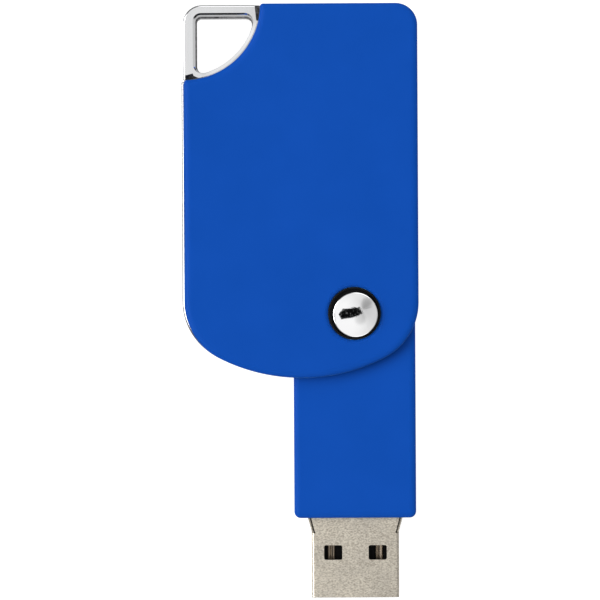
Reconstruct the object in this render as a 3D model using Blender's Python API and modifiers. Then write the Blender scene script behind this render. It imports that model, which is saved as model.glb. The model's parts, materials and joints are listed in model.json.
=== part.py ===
"""A folding USB flash drive, modelled as its separate pieces.

Two cover plates sandwich a chrome frame that carries the keyring loop. A stick with a USB-A plug
turns on a rivet between the plates and folds in through the cover's open right side.

The drive lies on its back cover: +Z is up, +Y points to the keyring end, and the origin is the
centre of the whole footprint on the resting surface. The stick is modelled open, at its rest pose.
Sizes are in millimetres here, and the helpers turn them into metres.
"""

import math

import bmesh
import bpy

MM = 0.001
ARC_STEP = 7.5          # degrees between the points of an outline's arcs
ROUND_SIDES = 32        # sides of a turned or drilled round
SMALL_SIDES = 12        # sides of a peg, post or its hole
WELD = 1e-7             # metres
FLAT = 1e-3             # radians between faces that count as one plane
REACH = 2.0             # how far a cutter runs past the face it cuts

# Overall size
OVERALL_LENGTH = 81.6
OVERALL_WIDTH = 32.4
THICKNESS = 10.0        # across the two cover plates

# Cover plates
COVER_WIDTH = 32.0
COVER_LENGTH = 51.3
PLATE = 1.5
BOTTOM_R = 24.9         # wide arc across the lower end
CORNER_R = 8.55         # arcs between that and the straight sides
TOP_R = 3.0
EDGE_R = 0.35
COVER_RIGHT = OVERALL_WIDTH / 2
COVER_LEFT = COVER_RIGHT - COVER_WIDTH
COVER_TOP = OVERALL_LENGTH / 2
COVER_BOTTOM = COVER_TOP - COVER_LENGTH
COVER_X = (COVER_LEFT + COVER_RIGHT) / 2
BOTTOM_CENTRE = (COVER_X, COVER_BOTTOM + BOTTOM_R)
TOP_CORNER = (COVER_RIGHT - TOP_R, COVER_TOP - TOP_R)

# Quarter-round notch for the keyring loop
NOTCH = (COVER_LEFT + 0.08, COVER_TOP - 0.03)
NOTCH_R = 10.4
TIP_R = 0.4

# Fold stop: a rib inside each plate, beside the folded stick
RIB_LEFT, RIB_RIGHT = -2.4, -1.4
RIB_BOTTOM, RIB_TOP = -7.0, 36.5

# Pegs of the plates in the frame's lugs
PEG_R = 0.65
PEG_LENGTH = 2.9
LUG_R = 1.3
LUG_BORE_R = 0.8
LUG_SPOTS = ((-14.0, 22.0), (-14.0, 4.0), (-3.6, 38.9), (-8.0, -6.9), (12.8, 39.25))

# Frame: side band, top band, collar and keyring loop
BAND_LOW, BAND_HIGH = 1.6, 8.4
BAND_WALL = 1.2
BAND_PROUD = 0.4        # the side band stands this far out past the plates' left edge
BAND_TOP = 30.2
BAND_STOP_X = -1.4      # the band ends here, against the open stick
TOP_INSET = 0.15
LOOP_LOW, LOOP_HIGH = 0.7, 9.3
LOOP_INSET = 0.12       # loop's top below the plates' top
LOOP_PROUD = 0.15       # the loop stands this far out past the plates' left edge
LOOP_R = NOTCH_R - 0.1
LOOP_CORNER_R = 2.6
COLLAR_INNER_R, COLLAR_OUTER_R = 9.2, 11.6
HOLE_LEFT, HOLE_TOP, HOLE_R = -14.26, 39.29, 9.8
HOLE_CORNER_R, HOLE_TIP_R = 0.8, 1.1
LIP = 0.3               # width and depth of the small step round the hole

# Pivot, common axis of the rivet and the stick
PIVOT = (7.4, -1.7)
PLATE_HOLE_R = 3.6
BUSH_R = 3.5
BUSH_INNER_R = 3.3
BUSH_FLOOR = 0.42
CAP_R = 3.02
CAP_APEX = 10.9
CAP_BORE_R = 2.05
CAP_SHIFT = (0.12, -0.18)       # the cap sits a little off its ring's centre
SHAFT_R = 1.72
SLEEVE_R = 1.8          # running fit round the shaft

# Stick case, in the stick's own frame: the pivot is its origin and it points to -Y
STICK_HALF = 8.37
STICK_END = -28.1
STICK_LOW, STICK_HIGH = 1.7, 8.3
STICK_CORNER_R = 0.9
SPLIT_Z = 5.0
SPLIT_GAP = 0.05        # each half stops this far from the split plane
CASE_WALL = 1.2
END_WALL = 1.0
CAVITY_LOW, CAVITY_HIGH = 2.6, 7.4
BOSS_R = 4.6
BOSS_BORE_R = 2.65
WASHER_SEAT_R = 4.2
WASHER_SEAT = 0.35
POST = (6.2, -2.55)
POST_R = 1.3
POST_PIN_R, POST_HOLE_R = 0.5, 0.6

# USB-A plug, in the stick's frame
PLUG_HALF = 6.0
PLUG_HEIGHT = 4.5
PLUG_TIP = -OVERALL_LENGTH / 2 - PIVOT[1]
PLUG_REAR = -21.15
FLARE_START = STICK_END - 1.95
FLARE_HALF = 6.53
SHEET = 0.3
PLUG_CORNER_R = 0.4
WINDOW_WIDTH, WINDOW_LENGTH = 2.5, 2.0
WINDOW_X = 3.06
WINDOW_FROM_TIP = 5.2
APERTURE_HALF = 6.75
APERTURE_LOW, APERTURE_HIGH = 2.65, 7.35
TONGUE_HALF = 5.6
TONGUE_LOW, TONGUE_HIGH = 3.15, 5.0
TONGUE_TIP = PLUG_TIP + 0.3
TONGUE_REAR = -21.4
BLOCK_TIP = FLARE_START - 0.25
BLOCK_GAP = 0.1         # between the insulator's block and the sheet round it
BLOCK_HIGH = 6.8
GROOVE_HALF = 0.6
GROOVE_FLOOR = 4.85
CONTACT_WIDTH = 1.0
CONTACT_LOW, CONTACT_HIGH = 4.9, 5.08
CONTACT_REAR = -19.65
CONTACTS = ((-3.3, 0.85), (-1.0, 1.85), (1.0, 1.85), (3.3, 0.85))   # x, distance behind the tip

# Circuit board and its parts, in the stick's frame
BOARD_HALF = 6.8
BOARD_REAR, BOARD_FRONT = -5.35, -20.85
BOARD_LOW, BOARD_HIGH = 4.05, 4.85
LEDGE_X = 6.45
LEDGE_REAR, LEDGE_FRONT = -5.0, -20.5
LEDGE_TOP = 4.0
SOLDER = 0.05
TOP_PARTS = {
    "controller_chip": ((-1.0, -13.6), (6.0, 6.0, 0.9)),
    "crystal": ((4.6, -8.4), (3.2, 2.5, 0.8)),
    "voltage_regulator": ((4.7, -17.9), (2.9, 1.6, 1.1)),
}
FLASH_CHIP = ((0.0, -13.0), (9.0, 11.0, 1.0))
CHIP_PASSIVE = (1.6, 0.8)
CAPACITOR_HEIGHT = 0.8
RESISTOR_HEIGHT = 0.45
CAPACITOR_SPOTS = ((-5.3, -8.0), (-5.3, -9.9), (4.7, -11.4), (4.7, -13.2))
RESISTOR_ROW_Y = -18.0
RESISTOR_FIRST_X = -5.2
RESISTOR_PITCH = 2.1


# ---------------------------------------------------------------- materials

def linear(channel):
    """A display colour channel, 0 to 255, as linear light."""
    value = channel / 255
    if value <= 0.04045:
        return value / 12.92
    return ((value + 0.055) / 1.055) ** 2.4


def material(name, colour, roughness, metallic=0.0):
    made = bpy.data.materials.new(name)
    made.use_nodes = True
    shader = made.node_tree.nodes["Principled BSDF"]
    shader.inputs["Base Color"].default_value = (*[linear(c) for c in colour], 1)
    shader.inputs["Roughness"].default_value = roughness
    shader.inputs["Metallic"].default_value = metallic
    made.diffuse_color = shader.inputs["Base Color"].default_value
    return made


# ---------------------------------------------------------------- outlines

def polar(centre, radius, degrees):
    angle = math.radians(degrees)
    return (centre[0] + radius * math.cos(angle), centre[1] + radius * math.sin(angle))


def arc(centre, radius, start, end):
    """Points from one angle to another, in degrees."""
    count = max(2, math.ceil(abs(end - start) / ARC_STEP))
    return [polar(centre, radius, start + (end - start) * i / count) for i in range(count + 1)]


def joined(*paths):
    """The paths one after the other, without points that repeat."""
    points = []
    for point in [p for path in paths for p in path]:
        if not points or math.dist(point, points[-1]) > 1e-4:
            points.append(point)
    if math.dist(points[0], points[-1]) < 1e-4:
        points.pop()
    return points


def lower_corner(half_width):
    """How far out and how high a lower corner arc's centre is, and the angle where it meets the bottom arc."""
    across = half_width - CORNER_R
    down = math.sqrt((BOTTOM_R - CORNER_R) ** 2 - across ** 2)
    return across, BOTTOM_CENTRE[1] - down, math.degrees(math.atan2(-down, across))


def notch_edge():
    """The notch with its two rounded tips, from the top edge to the left edge."""
    reach = NOTCH_R + TIP_R
    top_angle = math.degrees(math.asin((COVER_TOP - TIP_R - NOTCH[1]) / reach))
    left_angle = -math.degrees(math.acos((COVER_LEFT + TIP_R - NOTCH[0]) / reach))
    return joined(
        arc(polar(NOTCH, reach, top_angle), TIP_R, 90, 180 + top_angle),
        arc(NOTCH, NOTCH_R, top_angle, left_angle),
        arc(polar(NOTCH, reach, left_angle), TIP_R, 180 + left_angle, 180),
    )


def cover_outline():
    across, corner_y, tangent = lower_corner(COVER_WIDTH / 2)
    return joined(
        arc(BOTTOM_CENTRE, BOTTOM_R, -180 - tangent, tangent),
        arc((COVER_X + across, corner_y), CORNER_R, tangent, 0),
        arc(TOP_CORNER, TOP_R, 0, 90),
        notch_edge(),
        arc((COVER_X - across, corner_y), CORNER_R, -180, -180 - tangent),
    )


def side_band_edge(inset):
    """One side of the band that wraps the left edge and the lower left of the cover."""
    half = COVER_WIDTH / 2 + BAND_PROUD
    across, corner_y, tangent = lower_corner(half)
    stop = -math.degrees(math.acos((BAND_STOP_X - COVER_X) / (BOTTOM_R - inset)))
    return joined(
        [(COVER_X - half + inset, BAND_TOP)],
        arc((COVER_X - across, corner_y), CORNER_R - inset, -180, -180 - tangent),
        arc(BOTTOM_CENTRE, BOTTOM_R - inset, -180 - tangent, stop),
    )


def side_band_outline():
    return side_band_edge(0) + side_band_edge(BAND_WALL)[::-1]


def top_band_outline():
    start_x = NOTCH[0] + LOOP_R - TOP_INSET
    outer = COVER_TOP - TOP_INSET
    return joined(
        [(start_x, outer - BAND_WALL)],
        arc(TOP_CORNER, TOP_R - TOP_INSET - BAND_WALL, 90, 0),
        arc(TOP_CORNER, TOP_R - TOP_INSET, 0, 90),
        [(start_x, outer)],
    )


def collar_outline():
    start, end = -89.5, -2.0
    return arc(NOTCH, COLLAR_OUTER_R, start, end) + arc(NOTCH, COLLAR_INNER_R, end, start)


def quarter_outline(left, top, radius, corner_r, tip_r):
    """A quarter-round: straight left and top sides, and an arc about the notch's centre."""
    reach = radius - tip_r
    top_angle = math.degrees(math.asin((top - tip_r - NOTCH[1]) / reach))
    left_angle = -math.degrees(math.acos((left + tip_r - NOTCH[0]) / reach))
    return joined(
        arc(NOTCH, radius, left_angle, top_angle),
        arc(polar(NOTCH, reach, top_angle), tip_r, top_angle, 90),
        arc((left + corner_r, top - corner_r), corner_r, 90, 180),
        arc(polar(NOTCH, reach, left_angle), tip_r, 180, 360 + left_angle),
    )


def stick_outline(inset, end, corner_r):
    """The stick's round-ended plan, drawn in by inset, with its flat end at the given place."""
    half = STICK_HALF - inset
    return joined(
        arc((0, 0), half, 0, 180),
        arc((-half + corner_r, end + corner_r), corner_r, 180, 270),
        arc((half - corner_r, end + corner_r), corner_r, 270, 360),
    )


def plug_outline(inset, past=0.0):
    """The plug's plan, which flares where it enters the case."""
    near, far = PLUG_HALF - inset, FLARE_HALF - inset
    tip, rear = PLUG_TIP - past, PLUG_REAR + past
    right = [(near, tip), (near, FLARE_START), (far, STICK_END), (far, rear)]
    return right + [(-x, y) for x, y in reversed(right)]


# ---------------------------------------------------------------- modelling

class Builder:
    """Links new objects into the drive or the cutters, and under one parent."""

    def __init__(self, drive, cutters, parent=None):
        self.drive = drive
        self.cutters = cutters
        self.parent = parent

    def add(self, name, mesh, look, location=(0, 0, 0)):
        """An object for a mesh: a part if it has a look, and a cutter if not."""
        made = bpy.data.objects.new(name, mesh)
        made.location = [MM * value for value in location]
        made.parent = self.parent
        if look:
            self.drive.objects.link(made)
            mesh.materials.clear()
            mesh.materials.append(look)
            return made
        self.cutters.objects.link(made)
        made.hide_render = True
        made.display_type = "WIRE"
        return made

    def prism(self, name, outlines, low, high, look=None):
        """A flat outline, with any holes after it, from one height to another."""
        flat = bpy.data.curves.new(name, "CURVE")
        flat.dimensions = "2D"
        flat.fill_mode = "BOTH"
        flat.extrude = MM * (high - low) / 2
        for outline in outlines:
            spline = flat.splines.new("POLY")
            spline.points.add(len(outline) - 1)
            spline.use_cyclic_u = True
            for point, (x, y) in zip(spline.points, outline):
                point.co = (MM * x, MM * y, 0, 1)
        drawn = bpy.data.objects.new(name, flat)
        self.cutters.objects.link(drawn)
        bpy.context.view_layer.update()
        solid = bpy.data.meshes.new_from_object(drawn.evaluated_get(bpy.context.evaluated_depsgraph_get()))
        bpy.data.objects.remove(drawn)
        bpy.data.curves.remove(flat)
        weld(solid)
        return self.add(name, solid, look, (0, 0, (low + high) / 2))

    def box(self, name, low, high, look=None):
        """A box from its lowest to its highest corner."""
        solid = bmesh.new()
        bmesh.ops.create_cube(solid, size=1)
        bmesh.ops.scale(solid, vec=[MM * (b - a) for a, b in zip(low, high)], verts=solid.verts)
        return self.add(name, to_mesh(solid, name), look, [(a + b) / 2 for a, b in zip(low, high)])

    def cylinder(self, name, centre, radius, low, high, look=None, sides=ROUND_SIDES):
        solid = bmesh.new()
        bmesh.ops.create_cone(
            solid,
            cap_ends=True,
            segments=sides,
            radius1=MM * radius,
            radius2=MM * radius,
            depth=MM * (high - low),
        )
        made = self.add(name, to_mesh(solid, name), look, (*centre, (low + high) / 2))
        made.rotation_euler.z = math.pi / sides
        return made

    def turned(self, name, centre, profile, look, closed=True):
        """A profile of (radius, height) points, turned about the vertical through a centre."""
        section = bmesh.new()
        verts = [section.verts.new((MM * radius, 0, MM * height)) for radius, height in profile]
        for start, end in zip(verts, verts[1:]):
            section.edges.new((start, end))
        if closed:
            section.edges.new((verts[-1], verts[0]))
        made = self.add(name, to_mesh(section, name), look, (*centre, 0))
        screw = made.modifiers.new("Turn", "SCREW")
        screw.steps = ROUND_SIDES
        screw.render_steps = ROUND_SIDES
        screw.use_merge_vertices = True
        screw.merge_threshold = WELD
        return made


def to_mesh(solid, name):
    mesh = bpy.data.meshes.new(name)
    solid.to_mesh(mesh)
    solid.free()
    return mesh


def weld(mesh):
    """Join a curve's loose caps to its sides, and make each cap one face."""
    solid = bmesh.new()
    solid.from_mesh(mesh)
    bmesh.ops.remove_doubles(solid, verts=solid.verts, dist=WELD)
    bmesh.ops.dissolve_limit(solid, angle_limit=FLAT, verts=solid.verts, edges=solid.edges)
    bmesh.ops.recalc_face_normals(solid, faces=solid.faces)
    solid.to_mesh(mesh)
    solid.free()


def boolean(target, others, operation):
    for other in others:
        step = target.modifiers.new(other.name, "BOOLEAN")
        step.operation = operation
        step.object = other


def cut(target, *cutters):
    boolean(target, cutters, "DIFFERENCE")


def join(target, *pieces):
    boolean(target, pieces, "UNION")


def round_edges(made, width, segments, chosen):
    """Bevel the edges whose two ends, in millimetres, are both chosen."""
    mesh = made.data
    weights = mesh.attributes.new("bevel_weight_edge", "FLOAT", "EDGE")
    for edge in mesh.edges:
        ends = [mesh.vertices[i].co / MM for i in edge.vertices]
        weights.data[edge.index].value = float(all(chosen(end) for end in ends))
    bevel = made.modifiers.new("Rounded edges", "BEVEL")
    bevel.limit_method = "WEIGHT"
    bevel.width = MM * width
    bevel.segments = segments


def soften(made, width):
    bevel = made.modifiers.new("Softened edges", "BEVEL")
    bevel.width = MM * width
    bevel.segments = 1


# ---------------------------------------------------------------- cover

def cover_plate(build, name, outer, inner, look):
    """A plate from its inner face to its outer face, with the fold stop and pegs on its inner face."""
    low, high = min(inner, outer), max(inner, outer)
    inward = 1 if inner > outer else -1
    plate = build.prism(name, [cover_outline()], low, high, look)
    outer_local = -inward * PLATE / 2
    round_edges(plate, EDGE_R, 3, lambda end: abs(end.z - outer_local) < 1e-3)
    root = inner - inward * PLATE / 5
    rib_end = SPLIT_Z - inward * SPLIT_GAP
    rib = build.box(
        name + "_rib",
        (RIB_LEFT, RIB_BOTTOM, min(root, rib_end)),
        (RIB_RIGHT, RIB_TOP, max(root, rib_end)),
    )
    join(plate, rib)
    peg_end = inner + inward * PEG_LENGTH
    for number, spot in enumerate(LUG_SPOTS, 1):
        peg = build.cylinder(
            f"{name}_peg_{number}", spot, PEG_R, min(root, peg_end), max(root, peg_end), sides=SMALL_SIDES
        )
        join(plate, peg)
    hole = build.cylinder(name + "_hole", PIVOT, PLATE_HOLE_R, low - REACH, high + REACH)
    cut(plate, hole)
    return plate


def keyring_frame(build, look):
    """Side band, top band, lugs and the keyring loop, cast in one piece."""
    frame = build.prism("keyring_frame", [side_band_outline()], BAND_LOW, BAND_HIGH, look)
    loop_top = COVER_TOP - LOOP_INSET
    loop = quarter_outline(COVER_LEFT - LOOP_PROUD, loop_top, LOOP_R, LOOP_CORNER_R, 0)
    seam = 0.05         # keeps the joined pieces' faces off one plane
    join(
        frame,
        build.prism("collar", [collar_outline()], BAND_LOW - seam, BAND_HIGH + seam),
        build.prism("top_band", [top_band_outline()], BAND_LOW + 2 * seam, BAND_HIGH - 2 * seam),
        build.prism("loop", [loop], LOOP_LOW, LOOP_HIGH),
    )
    for number, spot in enumerate(LUG_SPOTS, 1):
        join(frame, build.cylinder(f"lug_{number}", spot, LUG_R, BAND_LOW + seam, BAND_HIGH - seam, sides=16))
    for number, spot in enumerate(LUG_SPOTS, 1):
        bore = build.cylinder(f"lug_bore_{number}", spot, LUG_BORE_R, 0, THICKNESS, sides=SMALL_SIDES)
        cut(frame, bore)
    hole = quarter_outline(HOLE_LEFT, HOLE_TOP, HOLE_R, HOLE_CORNER_R, HOLE_TIP_R)
    arc_clear = HOLE_R - 0.05       # the hole's round side has no lip
    lip = quarter_outline(HOLE_LEFT - LIP, HOLE_TOP + LIP, arc_clear, HOLE_CORNER_R + LIP, HOLE_TIP_R - LIP)
    cut(
        frame,
        build.prism("loop_hole", [hole], -REACH, THICKNESS + REACH),
        build.prism("front_lip", [lip], LOOP_HIGH - LIP, LOOP_HIGH + REACH),
        build.prism("back_lip", [lip], LOOP_LOW - REACH, LOOP_LOW + LIP),
    )
    return frame


def pivot(build, steel, chrome, black):
    """The rivet: a headed pin through both plates, its polished cap, and a cup bush in each plate."""
    head_low, head_high, shaft_top = 0.2, 0.95, 10.1
    build.turned(
        "pivot_pin",
        PIVOT,
        [
            (0, shaft_top),
            (SHAFT_R, shaft_top),
            (SHAFT_R, head_high),
            (CAP_R, head_high),
            (CAP_R, head_low),
            (0, head_low),
        ],
        steel,
        closed=False,
    )
    rim, bore_top, cap_low = 10.3, 10.25, 9.1
    build.turned(
        "pivot_cap",
        [at + shift for at, shift in zip(PIVOT, CAP_SHIFT)],
        [
            (0, CAP_APEX),
            (CAP_R - 0.25, rim),
            (CAP_R, rim - 0.2),
            (CAP_R, cap_low),
            (CAP_BORE_R, cap_low),
            (CAP_BORE_R, bore_top),
            (0, bore_top),
        ],
        chrome,
        closed=False,
    )
    for name, mouth, floor in (("front_pivot_bush", 9.8, 8.6), ("back_pivot_bush", 0.2, 1.4)):
        inward = 1 if floor > mouth else -1
        seat = floor - inward * BUSH_FLOOR
        profile = [
            (BUSH_R, mouth),
            (BUSH_R, floor),
            (SLEEVE_R, floor),
            (SLEEVE_R, seat),
            (BUSH_INNER_R, seat),
            (BUSH_INNER_R, mouth),
        ]
        build.turned(name, PIVOT, profile[::-inward], black)


# ---------------------------------------------------------------- stick

def case_half(build, name, low, high, look):
    """One half of the stick's case, hollow, with the boss round the pivot left solid."""
    front = high > SPLIT_Z + 1
    shell = build.prism(name, [stick_outline(0, STICK_END, STICK_CORNER_R)], low, high, look)
    outer_local = (high - low) / 2 if front else (low - high) / 2
    round_edges(shell, EDGE_R, 2, lambda end: abs(end.z - outer_local) < 1e-3)
    cut(shell, case_cavity(build, name + "_cavity", front))
    bore = build.cylinder(name + "_bore", (0, 0), BOSS_BORE_R, low - REACH, high + REACH)
    outer = high if front else low
    seat = outer - WASHER_SEAT if front else outer + WASHER_SEAT
    past = outer + REACH if front else outer - REACH
    recess = build.cylinder(name + "_washer_seat", (0, 0), WASHER_SEAT_R, min(seat, past), max(seat, past))
    aperture = build.box(
        name + "_aperture",
        (-APERTURE_HALF, STICK_END - REACH, APERTURE_LOW if not front else SPLIT_Z - REACH / 2),
        (APERTURE_HALF, STICK_END + REACH, APERTURE_HIGH if front else SPLIT_Z + REACH / 2),
    )
    cut(shell, bore, recess, aperture)
    for side in (-1, 1):
        spot = (side * POST[0], POST[1])
        label = f"{name}_{'pin' if front else 'socket'}_{'left' if side < 0 else 'right'}"
        if front:
            join(shell, build.cylinder(label, spot, POST_PIN_R, 3.7, 5.8, sides=SMALL_SIDES))
        else:
            cut(shell, build.cylinder(label, spot, POST_HOLE_R, 3.4, 5.8, sides=SMALL_SIDES))
    return shell


def case_cavity(build, name, front):
    """The hollow of one half: less the pivot boss, the locating posts and the board's ledges."""
    low = SPLIT_Z - REACH / 2 if front else CAVITY_LOW
    high = CAVITY_HIGH if front else SPLIT_Z + REACH / 2
    inner = stick_outline(CASE_WALL, STICK_END + END_WALL, 0.3)
    hollow = build.prism(name, [inner], low, high)
    cut(hollow, build.cylinder(name + "_boss", (0, 0), BOSS_R, low - REACH, high + REACH))
    ledge_high = high + REACH if front else LEDGE_TOP
    for side in (-1, 1):
        label = f"{name}_{'left' if side < 0 else 'right'}"
        spot = (side * POST[0], POST[1])
        near, far = sorted((side * LEDGE_X, side * STICK_HALF))
        cut(
            hollow,
            build.cylinder(label + "_post", spot, POST_R, low - REACH, high + REACH, sides=16),
            build.box(label + "_ledge", (near, LEDGE_FRONT, low - REACH), (far, LEDGE_REAR, ledge_high)),
        )
    return hollow


def pivot_bearing(build, bronze, steel, nylon):
    """The sleeve in the stick's boss, a wave washer under the front plate and a flat one over the back plate."""
    build.turned(
        "stick_bush",
        (0, 0),
        [(SLEEVE_R, 8.3), (2.55, 8.3), (2.55, 1.7), (SLEEVE_R, 1.7)],
        bronze,
    )
    build.turned("friction_washer", (0, 0), [(2.9, 2.0), (4.0, 2.0), (4.0, 1.6), (2.9, 1.6)], nylon)
    washer = build.turned("wave_washer", (0, 0), [(2.9, 8.27), (4.0, 8.27), (4.0, 8.15), (2.9, 8.15)], steel)
    depsgraph = bpy.context.evaluated_depsgraph_get()
    flat = bpy.data.meshes.new_from_object(washer.evaluated_get(depsgraph))
    washer.modifiers.clear()
    washer.data = flat
    waves, height = 3, 0.13 * MM
    for vertex in flat.vertices:
        vertex.co.z += height * math.cos(waves * math.atan2(vertex.co.y, vertex.co.x))
    return washer


def usb_plug(build, nickel, black, gold):
    """The plug: a folded sheet shell, its insulator and four contacts in grooves."""
    low, high = SPLIT_Z - PLUG_HEIGHT / 2, SPLIT_Z + PLUG_HEIGHT / 2
    shell = build.prism("usb_shell", [plug_outline(0)], low, high, nickel)
    half_height = PLUG_HEIGHT / 2
    round_edges(shell, PLUG_CORNER_R, 2, lambda end: abs(abs(end.z) - half_height) < 1e-3)
    keep_ends_square(shell)
    inside = build.prism("usb_shell_inside", [plug_outline(SHEET, REACH)], low + SHEET, high - SHEET)
    cut(shell, inside)
    window_y = PLUG_TIP + WINDOW_FROM_TIP
    for side in (-1, 1):
        near, far = side * WINDOW_X - WINDOW_WIDTH / 2, side * WINDOW_X + WINDOW_WIDTH / 2
        label = "window_left" if side < 0 else "window_right"
        window = build.box(label, (near, window_y, low - REACH), (far, window_y + WINDOW_LENGTH, high + REACH))
        cut(shell, window)

    insulator = build.box(
        "plug_insulator",
        (-TONGUE_HALF, TONGUE_TIP, TONGUE_LOW),
        (TONGUE_HALF, TONGUE_REAR, TONGUE_HIGH),
        black,
    )
    join(insulator, build.prism("plug_insulator_block", [block_outline()], TONGUE_LOW + SHEET, BLOCK_HIGH))
    for number, (x, behind_tip) in enumerate(CONTACTS, 1):
        start = PLUG_TIP + behind_tip
        groove = build.box(
            f"groove_{number}",
            (x - GROOVE_HALF, start - 0.2, GROOVE_FLOOR),
            (x + GROOVE_HALF, TONGUE_REAR + REACH, CONTACT_HIGH + 0.15),
        )
        cut(insulator, groove)
        build.box(
            f"contact_{number}",
            (x - CONTACT_WIDTH / 2, start, CONTACT_LOW),
            (x + CONTACT_WIDTH / 2, CONTACT_REAR, CONTACT_HIGH),
            gold,
        )


def block_outline():
    """The insulator's block, which follows the sheet as it flares into the case."""
    half, flared = PLUG_HALF - SHEET - BLOCK_GAP, FLARE_HALF - SHEET - BLOCK_GAP
    rear = TONGUE_REAR - SHEET
    right = [(half, BLOCK_TIP), (half, FLARE_START), (flared, STICK_END), (flared, rear)]
    return right + [(-x, y) for x, y in reversed(right)]


def keep_ends_square(shell):
    """Take the rounding off the plug's mouth and rear, so that only the long edges are rounded."""
    mesh = shell.data
    weights = mesh.attributes["bevel_weight_edge"]
    for edge in mesh.edges:
        ends = [mesh.vertices[i].co / MM for i in edge.vertices]
        if ends[0].x * ends[1].x < 0:
            weights.data[edge.index].value = 0


def electronics(build, looks):
    """The circuit board and what is soldered to it."""
    build.box(
        "circuit_board",
        (-BOARD_HALF, BOARD_FRONT, BOARD_LOW),
        (BOARD_HALF, BOARD_REAR, BOARD_HIGH),
        looks["board"],
    )
    for name, (spot, size) in TOP_PARTS.items():
        look = looks["can"] if name == "crystal" else looks["chip"]
        soldered(build, name, spot, size, look)
    spot, size = FLASH_CHIP
    soldered(build, "flash_chip", spot, size, looks["chip"], under=True)
    for number, spot in enumerate(CAPACITOR_SPOTS, 1):
        soldered(build, f"capacitor_{number}", spot, (*CHIP_PASSIVE, CAPACITOR_HEIGHT), looks["ceramic"])
    for index in range(4):
        spot = (RESISTOR_FIRST_X + RESISTOR_PITCH * index, RESISTOR_ROW_Y)
        size = (CHIP_PASSIVE[1], CHIP_PASSIVE[0], RESISTOR_HEIGHT)
        soldered(build, f"resistor_{index + 1}", spot, size, looks["resistor"])


def soldered(build, name, spot, size, look, under=False):
    """A component on the board's upper face, or under it."""
    low = BOARD_LOW - SOLDER - size[2] if under else BOARD_HIGH + SOLDER
    made = build.box(
        name,
        (spot[0] - size[0] / 2, spot[1] - size[1] / 2, low),
        (spot[0] + size[0] / 2, spot[1] + size[1] / 2, low + size[2]),
        look,
    )
    soften(made, 0.08)
    return made


# ---------------------------------------------------------------- assembly

def clear_scene():
    for made in list(bpy.data.objects):
        bpy.data.objects.remove(made)


def new_collection(name):
    made = bpy.data.collections.new(name)
    bpy.context.scene.collection.children.link(made)
    return made


def shade_round():
    """Smooth the rounded surfaces and keep the real edges sharp."""
    for made in bpy.data.collections["usb_flash_drive"].objects:
        if made.type == "MESH" and made.data.polygons:
            made.data.shade_smooth()
            made.data.set_sharp_from_angle(angle=math.radians(30))


def main():
    clear_scene()
    drive = new_collection("usb_flash_drive")
    cutters = new_collection("cutters")

    blue = material("blue_soft_plastic", (22, 78, 176), 0.55)
    chrome = material("chrome", (225, 225, 226), 0.06, 1.0)
    nickel = material("plug_nickel", (196, 190, 176), 0.3, 1.0)
    black = material("black_plastic", (16, 16, 18), 0.4)
    steel = material("steel", (180, 180, 182), 0.25, 1.0)
    bronze = material("sintered_bronze", (150, 112, 62), 0.45, 1.0)
    nylon = material("natural_nylon", (222, 218, 205), 0.5)
    gold = material("contact_gold", (212, 170, 92), 0.2, 1.0)
    looks = {
        "board": material("solder_mask", (18, 92, 52), 0.35),
        "chip": material("chip_epoxy", (24, 24, 26), 0.5),
        "can": material("crystal_can", (190, 190, 188), 0.2, 1.0),
        "ceramic": material("ceramic", (166, 134, 98), 0.5),
        "resistor": material("resistor_black", (28, 28, 32), 0.45),
    }

    cover = Builder(drive, cutters)
    cover_plate(cover, "front_cover", THICKNESS, THICKNESS - PLATE, blue)
    cover_plate(cover, "back_cover", 0.0, PLATE, blue)
    keyring_frame(cover, chrome)
    pivot(cover, steel, chrome, black)

    stick_axis = bpy.data.objects.new("stick_axis", None)
    stick_axis.location = (MM * PIVOT[0], MM * PIVOT[1], 0)
    drive.objects.link(stick_axis)
    stick = Builder(drive, cutters, stick_axis)
    case_half(stick, "stick_front_shell", SPLIT_Z + SPLIT_GAP, STICK_HIGH, blue)
    case_half(stick, "stick_back_shell", STICK_LOW, SPLIT_Z - SPLIT_GAP, blue)
    pivot_bearing(stick, bronze, steel, nylon)
    usb_plug(stick, nickel, black, gold)
    electronics(stick, looks)
    shade_round()


main()
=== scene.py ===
"""Looks for a folding USB flash drive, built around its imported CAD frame.

Each piece that shows is modelled again with fine curves and soft edges. Shapes are in millimetres, and
settle() turns them into metres. Outer sizes and places come from the CAD nodes' boxes and from the joint.
"""

import json
import math

import bmesh
import bpy
from mathutils import Matrix, Vector


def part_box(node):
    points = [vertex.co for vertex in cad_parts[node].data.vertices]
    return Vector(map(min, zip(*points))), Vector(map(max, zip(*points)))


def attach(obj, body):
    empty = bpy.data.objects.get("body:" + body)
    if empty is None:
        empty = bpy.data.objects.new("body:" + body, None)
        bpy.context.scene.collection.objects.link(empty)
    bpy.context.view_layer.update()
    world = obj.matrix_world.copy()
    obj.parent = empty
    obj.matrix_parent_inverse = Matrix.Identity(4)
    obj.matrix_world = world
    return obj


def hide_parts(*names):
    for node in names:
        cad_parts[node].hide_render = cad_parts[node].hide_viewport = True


MM = 0.001
CLOSE = 1e-4                # points nearer than this are one point
MARGIN = 0.03               # flat strip beside a rounded edge, which keeps a flat face's shading level
FINE_EDGE = (0.05, 0.05)    # an edge's (reach, drop) where it is only just softened

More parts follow.
